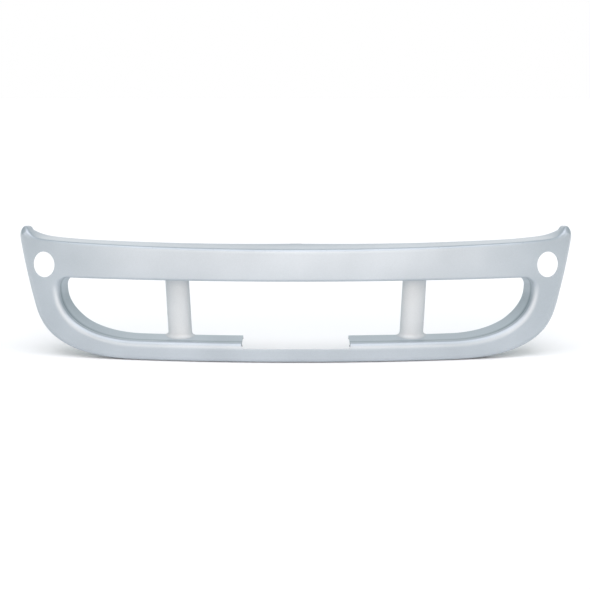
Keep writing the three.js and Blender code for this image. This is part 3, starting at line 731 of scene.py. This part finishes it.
def makeShell():
    piece = thickened("coverShell", shellSkin(), shell["wall"], shellPaint)
    pads, padCuts = padShapes()
    tabs, tabCuts = tabShapes()
    boolean(piece, "UNION", pads + tabs + gussetShapes())
    x, z, radius = shell["towHole"]
    tow = [holeTool("towHole", radius, 0, shell["wall"], sign * x, z, 0.8, 128, shellPaint)
           for sign in sides.values()]
    boolean(piece, "DIFFERENCE", padCuts + tabCuts + tow + [notchTool(shellPaint)])
    placeWith(piece, bendPoint)
    shadeSmooth(piece)
    return finished(piece, "cover", "cover_shell")


makeShell()
print("shell done")


liner = {
    "wall": 2.5,
    "front": 18,
    "depth": 70,
    "inset": 3.8,
    "flange": (14, 21),
    "rearBottom": 10.5,
    "rearTop": 3,
    "rearEnds": -1,
    "rearLip": 12,
    "gap": 0.3,
    "ear": (11, 8, 22),  # half width, free end, root
    "earCorner": 5,
}


# How far the liner's visible face is from the lip at a depth, for an outward direction.
def linerFace(outward, depth):
    down = smoothStep(-outward.y, 0.15, 0.95)
    up = smoothStep(outward.y, 0.3, 1)
    ends = liner["rearEnds"]
    rear = ends + (liner["rearBottom"] - ends) * down + (liner["rearTop"] - ends) * up
    share = (depth - liner["front"]) / (liner["depth"] - liner["front"])
    return liner["inset"] - share * (liner["inset"] + rear)


def linerSkin():
    outer, flangeFront = liner["flange"]
    depth = liner["depth"]

    def face(at, extra=0.0):
        return lambda station: (linerFace(station[3], at) + extra, at)

    def rear(extra):
        return lambda station: (linerFace(station[3], depth) + extra, depth)

    sections = [
        lambda station: (outer, flangeFront),
        lambda station: (outer - 2, flangeFront),
        lambda station: (linerFace(station[3], flangeFront) + 2.4, flangeFront),
        lambda station: (linerFace(station[3], flangeFront) + 0.4, flangeFront + 0.6),
        face(flangeFront + 2.6),
        face(mix(flangeFront, depth, 0.35)),
        face(mix(flangeFront, depth, 0.65)),
        face(depth - 2.4),
        face(depth - 0.5, 0.2),
        rear(1.6),
        rear(4),
        rear(liner["rearLip"] - 2),
        rear(liner["rearLip"]),
    ]
    return skinThrough([loopAt(section, outer=False) for section in sections])


def earShapes():
    halfWidth, free, root = liner["ear"]
    y0, y1 = liner["flange"][1], liner["flange"][1] + liner["wall"]
    added, cuts = [], []
    for sign in sides.values():
        for x, z, quarters in rivetPlaces.values():
            bm = blockOf(-halfWidth, halfWidth, y0, y1, -root, free)
            top = [e for e in bm.edges if all(v.co.z > 0 for v in e.verts)
                   and e.verts[0].co.x == e.verts[1].co.x]
            bmesh.ops.bevel(bm, geom=top, offset=liner["earCorner"], affect="EDGES", segments=5, profile=0.5,
                            material=-1)
            ear = newPiece("ear", bm, bareBack)
            turn = Matrix.Rotation(sign * quarters * math.pi / 2, 4, "Y")
            ear.data.transform(Matrix.Translation((sign * x, 0, z)) @ turn)
            added.append(ear)
            cuts.append(holeTool("earHole", pad["hole"], y0, y1, sign * x, z, 0.3, 32))
    return added, cuts


upright = {
    "x": 357,
    "z": 150,
    "halfWidth": 36.5,
    "depth": 23,
    "back": 69,
    "wall": 3,
    "lean": math.radians(2.66),
    "footRadius": 9.5,  # fillet where it spreads on to the liner
    "headRadius": 4,
}
screw = {"hole": 2.7, "spread": 18, "depth": 60, "boss": 6, "bossLength": 13}


def linerHeight(low, depth):
    face = linerFace(Vector((0, -1 if low else 1)), depth)
    return opening["bottom"] - face if low else opening["top"] + face


def screwPlaces():
    places = {}
    for side, sign in sides.items():
        for end in ("bottom", "top"):
            for label, hand in (("inner", -1), ("outer", 1)):
                z = linerHeight(end == "bottom", screw["depth"])
                middle = upright["x"] + (z - upright["z"]) * math.tan(upright["lean"])
                x = sign * (middle + hand * screw["spread"])
                places[f"upright_screw_{side}_{end}_{label}"] = (x, end == "bottom", side)
    return places


# A screw's frame: square to the liner's wall, z running into the upright from the liner's visible face.
def screwSeat(x, low, bent):
    warp = bendPoint if bent else Vector

    def at(dx, dy):
        depth = screw["depth"] + dy
        return warp((x + dx, depth, linerHeight(low, depth)))

    along = (at(1, 0) - at(-1, 0)).normalized()
    back = (at(0, 1) - at(0, -1)).normalized()
    if not low:
        along.negate()
    inward = along.cross(back).normalized()
    turn = Matrix((along, inward.cross(along), inward)).transposed().to_4x4()
    size = Matrix.Scale(fine if bent else 1, 4)
    return Matrix.Translation(at(0, 0)) @ turn @ size


def screwBar(x, low, radius, z0, z1):
    bm = turnedShape([(0, z0), (radius, z0), (radius, z1), (0, z1)], 24)
    piece = newPiece("screwBar", bm, bareBack)
    piece.data.transform(screwSeat(x, low, False) @ Matrix.Rotation(math.pi / 2, 4, "X"))
    return piece


def makeLiner():
    piece = thickened("openingLiner", linerSkin(), liner["wall"], linerPaint)
    ears, cuts = earShapes()
    boolean(piece, "UNION", ears)
    screws = [screwBar(x, low, screw["hole"], -8, 4) for x, low, _ in screwPlaces().values()]
    boolean(piece, "DIFFERENCE", cuts + screws + [notchTool(linerPaint)])
    placeWith(piece, bendPoint)
    shadeSmooth(piece)
    return finished(piece, "cover", "opening_liner")


makeLiner()
print("liner done")


# A D-shaped loop at a height above the liner's lower face, spread by some millimetres.
def dLoop(sign, inset, spread, heightAt, back):
    w, d = upright["halfWidth"] - inset + spread, upright["depth"] - inset + spread
    count = 28
    arcPoints = [(-w * math.cos(math.pi * i / count), upright["back"] - d * math.sin(math.pi * i / count))
                 for i in range(count + 1)]
    if back > upright["back"]:
        arcPoints = [(-w, back), *arcPoints, (w, back)]
    loop = []
    for x, y in arcPoints:
        z = heightAt(y)
        middle = upright["x"] + (z - upright["z"]) * math.tan(upright["lean"])
        loop.append(Vector((sign * (middle + x), y, z)))
    return loop


def filletSteps(radius):
    for height in (0, 0.07, 0.18, 0.33, 0.52, 0.75, 1):
        yield height * radius, radius * (1 - math.sqrt(1 - (1 - height) ** 2))


def makeUpright(side, sign):
    gap = liner["gap"]

    def above(height):
        return lambda y: linerHeight(True, y) + gap + height

    def below(height):
        return lambda y: linerHeight(False, y) - gap - height

    back = upright["back"]
    loops = [dLoop(sign, 0, spread, above(height), back)
             for height, spread in filletSteps(upright["footRadius"])]
    loops += [dLoop(sign, 0, 0, lambda y, z=z: z, back) for z in (100, 130, 160, 190, 215)]
    heads = [dLoop(sign, 0, spread, below(height), back)
             for height, spread in filletSteps(upright["headRadius"])]
    bm = skinThrough(loops + heads[::-1], caps=True)
    outwards(bm)
    piece = newPiece(f"upright_{side}_fine", bm, uprightPaint)
    wall = upright["wall"]
    ends = [dLoop(sign, wall, 0, heightAt, back + 20) for heightAt in (above(wall), below(wall))]
    inside = skinThrough(ends, caps=True)
    outwards(inside)
    boolean(piece, "DIFFERENCE", [newPiece("inside", inside, bareBack)])
    mine = [(x, low) for x, low, where in screwPlaces().values() if where == side]
    length = screw["bossLength"]
    boolean(piece, "UNION", [screwBar(x, low, screw["boss"], 1, length) for x, low in mine])
    boolean(piece, "DIFFERENCE", [screwBar(x, low, screw["hole"], -3, length + 2) for x, low in mine])
    placeWith(piece, bendPoint)
    shadeSmooth(piece, 40)
    return finished(piece, "cover", f"upright_{side}")


for side, sign in sides.items():
    makeUpright(side, sign)
print("uprights done")


# Fasteners are each drawn in millimetres in their own frame: y points out of the cover's back.

rivet = {"shank": 3.9, "head": 9, "headThick": 2, "bore": 2.3, "length": 17, "bulge": 5.2}
pin = {"shank": 1.95, "head": 4.6, "headThick": 1.8, "length": 17}
clip = {"width": 18, "top": 7, "foot": 15.5, "thick": 1.2, "opening": 3.8, "hole": 3.4, "barrel": 5.5,
        "reach": 6}


def rivetMesh():
    r = rivet
    grip = liner["wall"] + liner["gap"] + pad["plate"] + 0.3
    points = [(r["bore"], -r["length"]), (r["bore"] + 0.8, -r["length"]), (3.7, -14.5), (r["bulge"] - 0.2, -9.4),
              (r["bulge"], -8.6), (r["bulge"] - 0.3, -7.8), (r["shank"], -grip), (r["shank"], 0),
              (r["head"] - 0.3, 0), (r["head"], 0.3), (r["head"], 0.9), (r["head"] - 0.3, 1.4),
              (r["head"] - 1.2, 1.8), (r["head"] - 2.6, 2), (5.6, 2), (5.2, 1.7), (r["bore"] + 0.4, 1.7),
              (r["bore"], 1.4)]
    bm = turnedShape(points, 40, closed=True)
    piece = newPiece("rivetShape", bm, nylon)
    slots = [newPiece("slot", blockOf(-0.9, 0.9, -r["length"] - 1, -grip - 1, -7, 7), nylon),
             newPiece("slot", blockOf(-7, 7, -r["length"] - 1, -grip - 1, -0.9, 0.9), nylon)]
    for slot in slots:
        boolean(piece, "DIFFERENCE", [slot])
    shadeSmooth(piece, 40)
    return piece


def pinMesh():
    base = rivet["headThick"] + liner["gap"]
    top = base + pin["headThick"]
    points = [(0, base - pin["length"]), (0.9, base - pin["length"]), (1.5, base - pin["length"] + 0.8),
              (pin["shank"], base - pin["length"] + 2), (pin["shank"], base), (pin["head"] - 0.2, base),
              (pin["head"], base + 0.3), (pin["head"] - 0.1, top - 0.7), (pin["head"] - 0.6, top - 0.2),
              (pin["head"] - 1.3, top), (0, top)]
    piece = newPiece("pinShape", turnedShape(points, 36), nylon)
    boolean(piece, "DIFFERENCE", [newPiece("pry", blockOf(-0.55, 0.55, top - 0.7, top + 1, -3, 3), nylon)])
    shadeSmooth(piece, 40)
    return piece


# A strip bent into a U over the tab, with flared lead-in lips, and a threaded barrel on its front leaf.
def clipMesh():
    c = clip
    rear = (c["opening"] - tab["thick"]) / 2
    front = rear - c["opening"]
    # the rear face of the sheet: down the rear leaf, round the fold and up the front leaf
    middle = (rear + front) / 2
    radius = c["opening"] / 2 + c["thick"]
    low = -c["foot"] - c["thick"] + radius
    line = [(rear + c["thick"], c["top"]), (rear + c["thick"], low)]
    line += [(middle + radius * math.cos(a), low - radius * math.sin(a))
             for a in (math.radians(d) for d in (22.5, 45, 67.5, 90, 112.5, 135, 157.5))]
    line += [(front - c["thick"], low), (front - c["thick"], c["top"] - 2.6),
             (front - c["thick"] - 0.35, c["top"])]
    bm = bmesh.new()
    verts = [bm.verts.new((-c["width"] / 2, y, z)) for y, z in line]
    edges = [bm.edges.new(pair) for pair in zip(verts, verts[1:])]
    made = bmesh.ops.extrude_edge_only(bm, edges=edges)["geom"]
    far = [g for g in made if isinstance(g, bmesh.types.BMVert)]
    bmesh.ops.translate(bm, vec=(c["width"], 0, 0), verts=far)
    bmesh.ops.recalc_face_normals(bm, faces=bm.faces)
    if max(bm.faces, key=lambda f: f.calc_center_median().y).normal.y < 0:
        bmesh.ops.reverse_faces(bm, faces=bm.faces)
    piece = newPiece("clipShape", bm, springSteel)
    addModifier(piece, "SOLIDIFY", thickness=c["thick"], offset=-1, use_even_offset=True)
    addModifier(piece, "BEVEL", width=0.25, segments=2, limit_method="ANGLE", angle_limit=math.radians(50))
    settle(piece)
    y0 = front - c["thick"] - c["reach"]
    tube = turnedShape([(0, y0), (c["barrel"] - 0.5, y0), (c["barrel"], y0 + 0.5), (c["barrel"], front - 1.4),
                        (c["barrel"] + 0.6, front - 0.7), (0, front - 0.7)], 40)
    boolean(piece, "UNION", [newPiece("barrel", tube, springSteel)])
    bore = turnedShape([(0, y0 - 1), (c["hole"] + 0.5, y0 - 1), (c["hole"] + 0.5, y0), (c["hole"], y0 + 0.5),
                        (c["hole"], rear + 3), (0, rear + 3)], 32)
    boolean(piece, "DIFFERENCE", [newPiece("bore", bore, springSteel)])
    shadeSmooth(piece, 35)
    return piece


# Pan-head screw: z is 0 on the liner's visible face, with a cross recess in its head.
def screwMesh():
    base = -liner["wall"] - liner["gap"]
    tip = base + 15
    head = [(0, base - 2.6), (2.6, base - 2.6), (3.8, base - 2.2), (4.5, base - 1.3), (4.6, base - 0.3),
            (4.5, base)]
    crests = [(1.75 if i % 2 else 2.2, base + 0.8 + i * 0.55) for i in range(22)]
    profile = [*head, (2.2, base), *crests, (0.5, tip - 0.2), (0, tip)]
    piece = newPiece("screwShape", turnedShape(profile, 28), zinc)
    for turned in (0, math.pi / 2):
        slot = newPiece("drive", blockOf(-0.5, 0.5, base - 4, base - 1.1, -2.3, 2.3), zinc)
        slot.data.transform(Matrix.Rotation(turned, 4, "Y"))
        boolean(piece, "DIFFERENCE", [slot])
    piece.data.transform(Matrix.Rotation(math.pi / 2, 4, "X"))
    shadeSmooth(piece, 35)
    return piece


# Sets copies of a shape in their places, each its own piece, and clears the pattern away.
def setCopies(pattern, places):
    for node, (matrix, body) in places.items():
        piece = pattern.copy()
        piece.data = pattern.data.copy()
        piece.name = f"{node}_fine"
        bpy.context.scene.collection.objects.link(piece)
        piece.data.transform(matrix)
        finished(piece, body, node)
    bpy.data.meshes.remove(pattern.data)


rivetSeats = {}
pinSeats = {}
for side, sign in sides.items():
    for row, (x, z, _) in rivetPlaces.items():
        place = seatAt(sign * x, liner["flange"][1] + liner["wall"] + liner["gap"], z)
        rivetSeats[f"rivet_{row}_{side}"] = (place, "cover")
        pinSeats[f"rivet_pin_{row}_{side}"] = (place, f"pin_{row}_{side}")
setCopies(rivetMesh(), rivetSeats)
setCopies(pinMesh(), pinSeats)
clipSeats = {name: (seatAt(x, depth, z) @ Matrix.Rotation(turn, 4, "Y"), "cover")
             for name, (x, depth, z, turn) in clipPlaces().items()}
setCopies(clipMesh(), clipSeats)
screwSeats = {name: (screwSeat(x, low, True), "cover") for name, (x, low, _) in screwPlaces().items()}
setCopies(screwMesh(), screwSeats)
print("fasteners done")


studio = {
    "floor": "f6f7f8",
    "floorPale": "f8f9fa",
    "floorHalf": 30,  # metres
    "dome": "e0f9ff",
    "domePower": 0.42,
    "lightSpread": 60,  # degrees across, so that every shadow is soft
    "lights": {  # height and turn in degrees, colour, strength
        "frontLight": (8, 0, "ffebdf", 2.2),
        "topLight": (70, 0, "fff8fc", 1.75),
        "leftLight": (20, -65, "ffede1", 0.5),
        "rightLight": (20, 65, "ffede1", 0.5),
        "backLight": (12, 180, "fff4f0", 0.84),
    },
    "viewDistance": 3.77,
    "viewHeight": 10,  # degrees
    "lens": 79.32,
    "sensor": 36,
    "aim": Vector((-0.0025, -0.0756, -0.1177)),
}


def makeFloor():
    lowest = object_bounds()[0][2]
    bm = bmesh.new()
    bmesh.ops.create_grid(bm, x_segments=1, y_segments=1, size=studio["floorHalf"])
    bmesh.ops.translate(bm, vec=(0, 0, lowest), verts=bm.verts)
    material, tree = newMaterial("studioFloor")
    place = addNode(tree, "ShaderNodeTexCoord").outputs["Object"]
    cloud = addNode(tree, "ShaderNodeTexNoise", values={"Scale": 2.0, "Detail": 1.0}, links={"Vector": place})
    tones = [(0.3, linear(studio["floor"])), (0.7, linear(studio["floorPale"]))]
    tone = rampOf(tree, cloud.outputs["Fac"], tones)
    shaderOf(tree, {"Roughness": 0.9, "Specular IOR Level": 0.1}, {"Base Color": tone})
    newPiece("studioFloor", bm, material)


# Broad soft lights round the set, a weak cool dome to fill, and plain white where the floor ends.
def makeStudio():
    world = bpy.data.worlds.new("studioDome")
    bpy.context.scene.world = world
    world.use_nodes = True
    tree = world.node_tree
    dome = tree.nodes["Background"]
    dome.inputs["Color"].default_value = linear(studio["dome"])
    dome.inputs["Strength"].default_value = studio["domePower"]
    seen = addNode(tree, "ShaderNodeLightPath").outputs["Is Camera Ray"]
    white = addNode(tree, "ShaderNodeBackground", values={"Color": linear("ffffff")})
    both = addNode(tree, "ShaderNodeMixShader", links={0: seen, 1: dome.outputs[0], 2: white.outputs[0]})
    tree.links.new(both.outputs["Shader"], tree.nodes["World Output"].inputs["Surface"])
    for name, (height, turn, colour, power) in studio["lights"].items():
        data = bpy.data.lights.new(name, "SUN")
        data.energy = power
        data.color = linear(colour)[:3]
        data.angle = math.radians(studio["lightSpread"])
        lamp = bpy.data.objects.new(name, data)
        bpy.context.scene.collection.objects.link(lamp)
        lamp.rotation_euler = (math.radians(90 - height), 0, math.radians(turn))


def makeCamera():
    data = bpy.data.cameras.new("viewCamera")
    data.lens = studio["lens"]
    data.sensor_width = studio["sensor"]
    camera = bpy.data.objects.new("viewCamera", data)
    bpy.context.scene.collection.objects.link(camera)
    tilt = math.radians(studio["viewHeight"])
    camera.location = studio["aim"] + studio["viewDistance"] * Vector((0, -math.cos(tilt), math.sin(tilt)))
    camera.rotation_euler = (studio["aim"] - camera.location).to_track_quat("-Z", "Y").to_euler()
    bpy.context.scene.camera = camera


makeFloor()
makeStudio()
makeCamera()
bpy.context.scene.view_settings.view_transform = "Standard"
print("studio done")
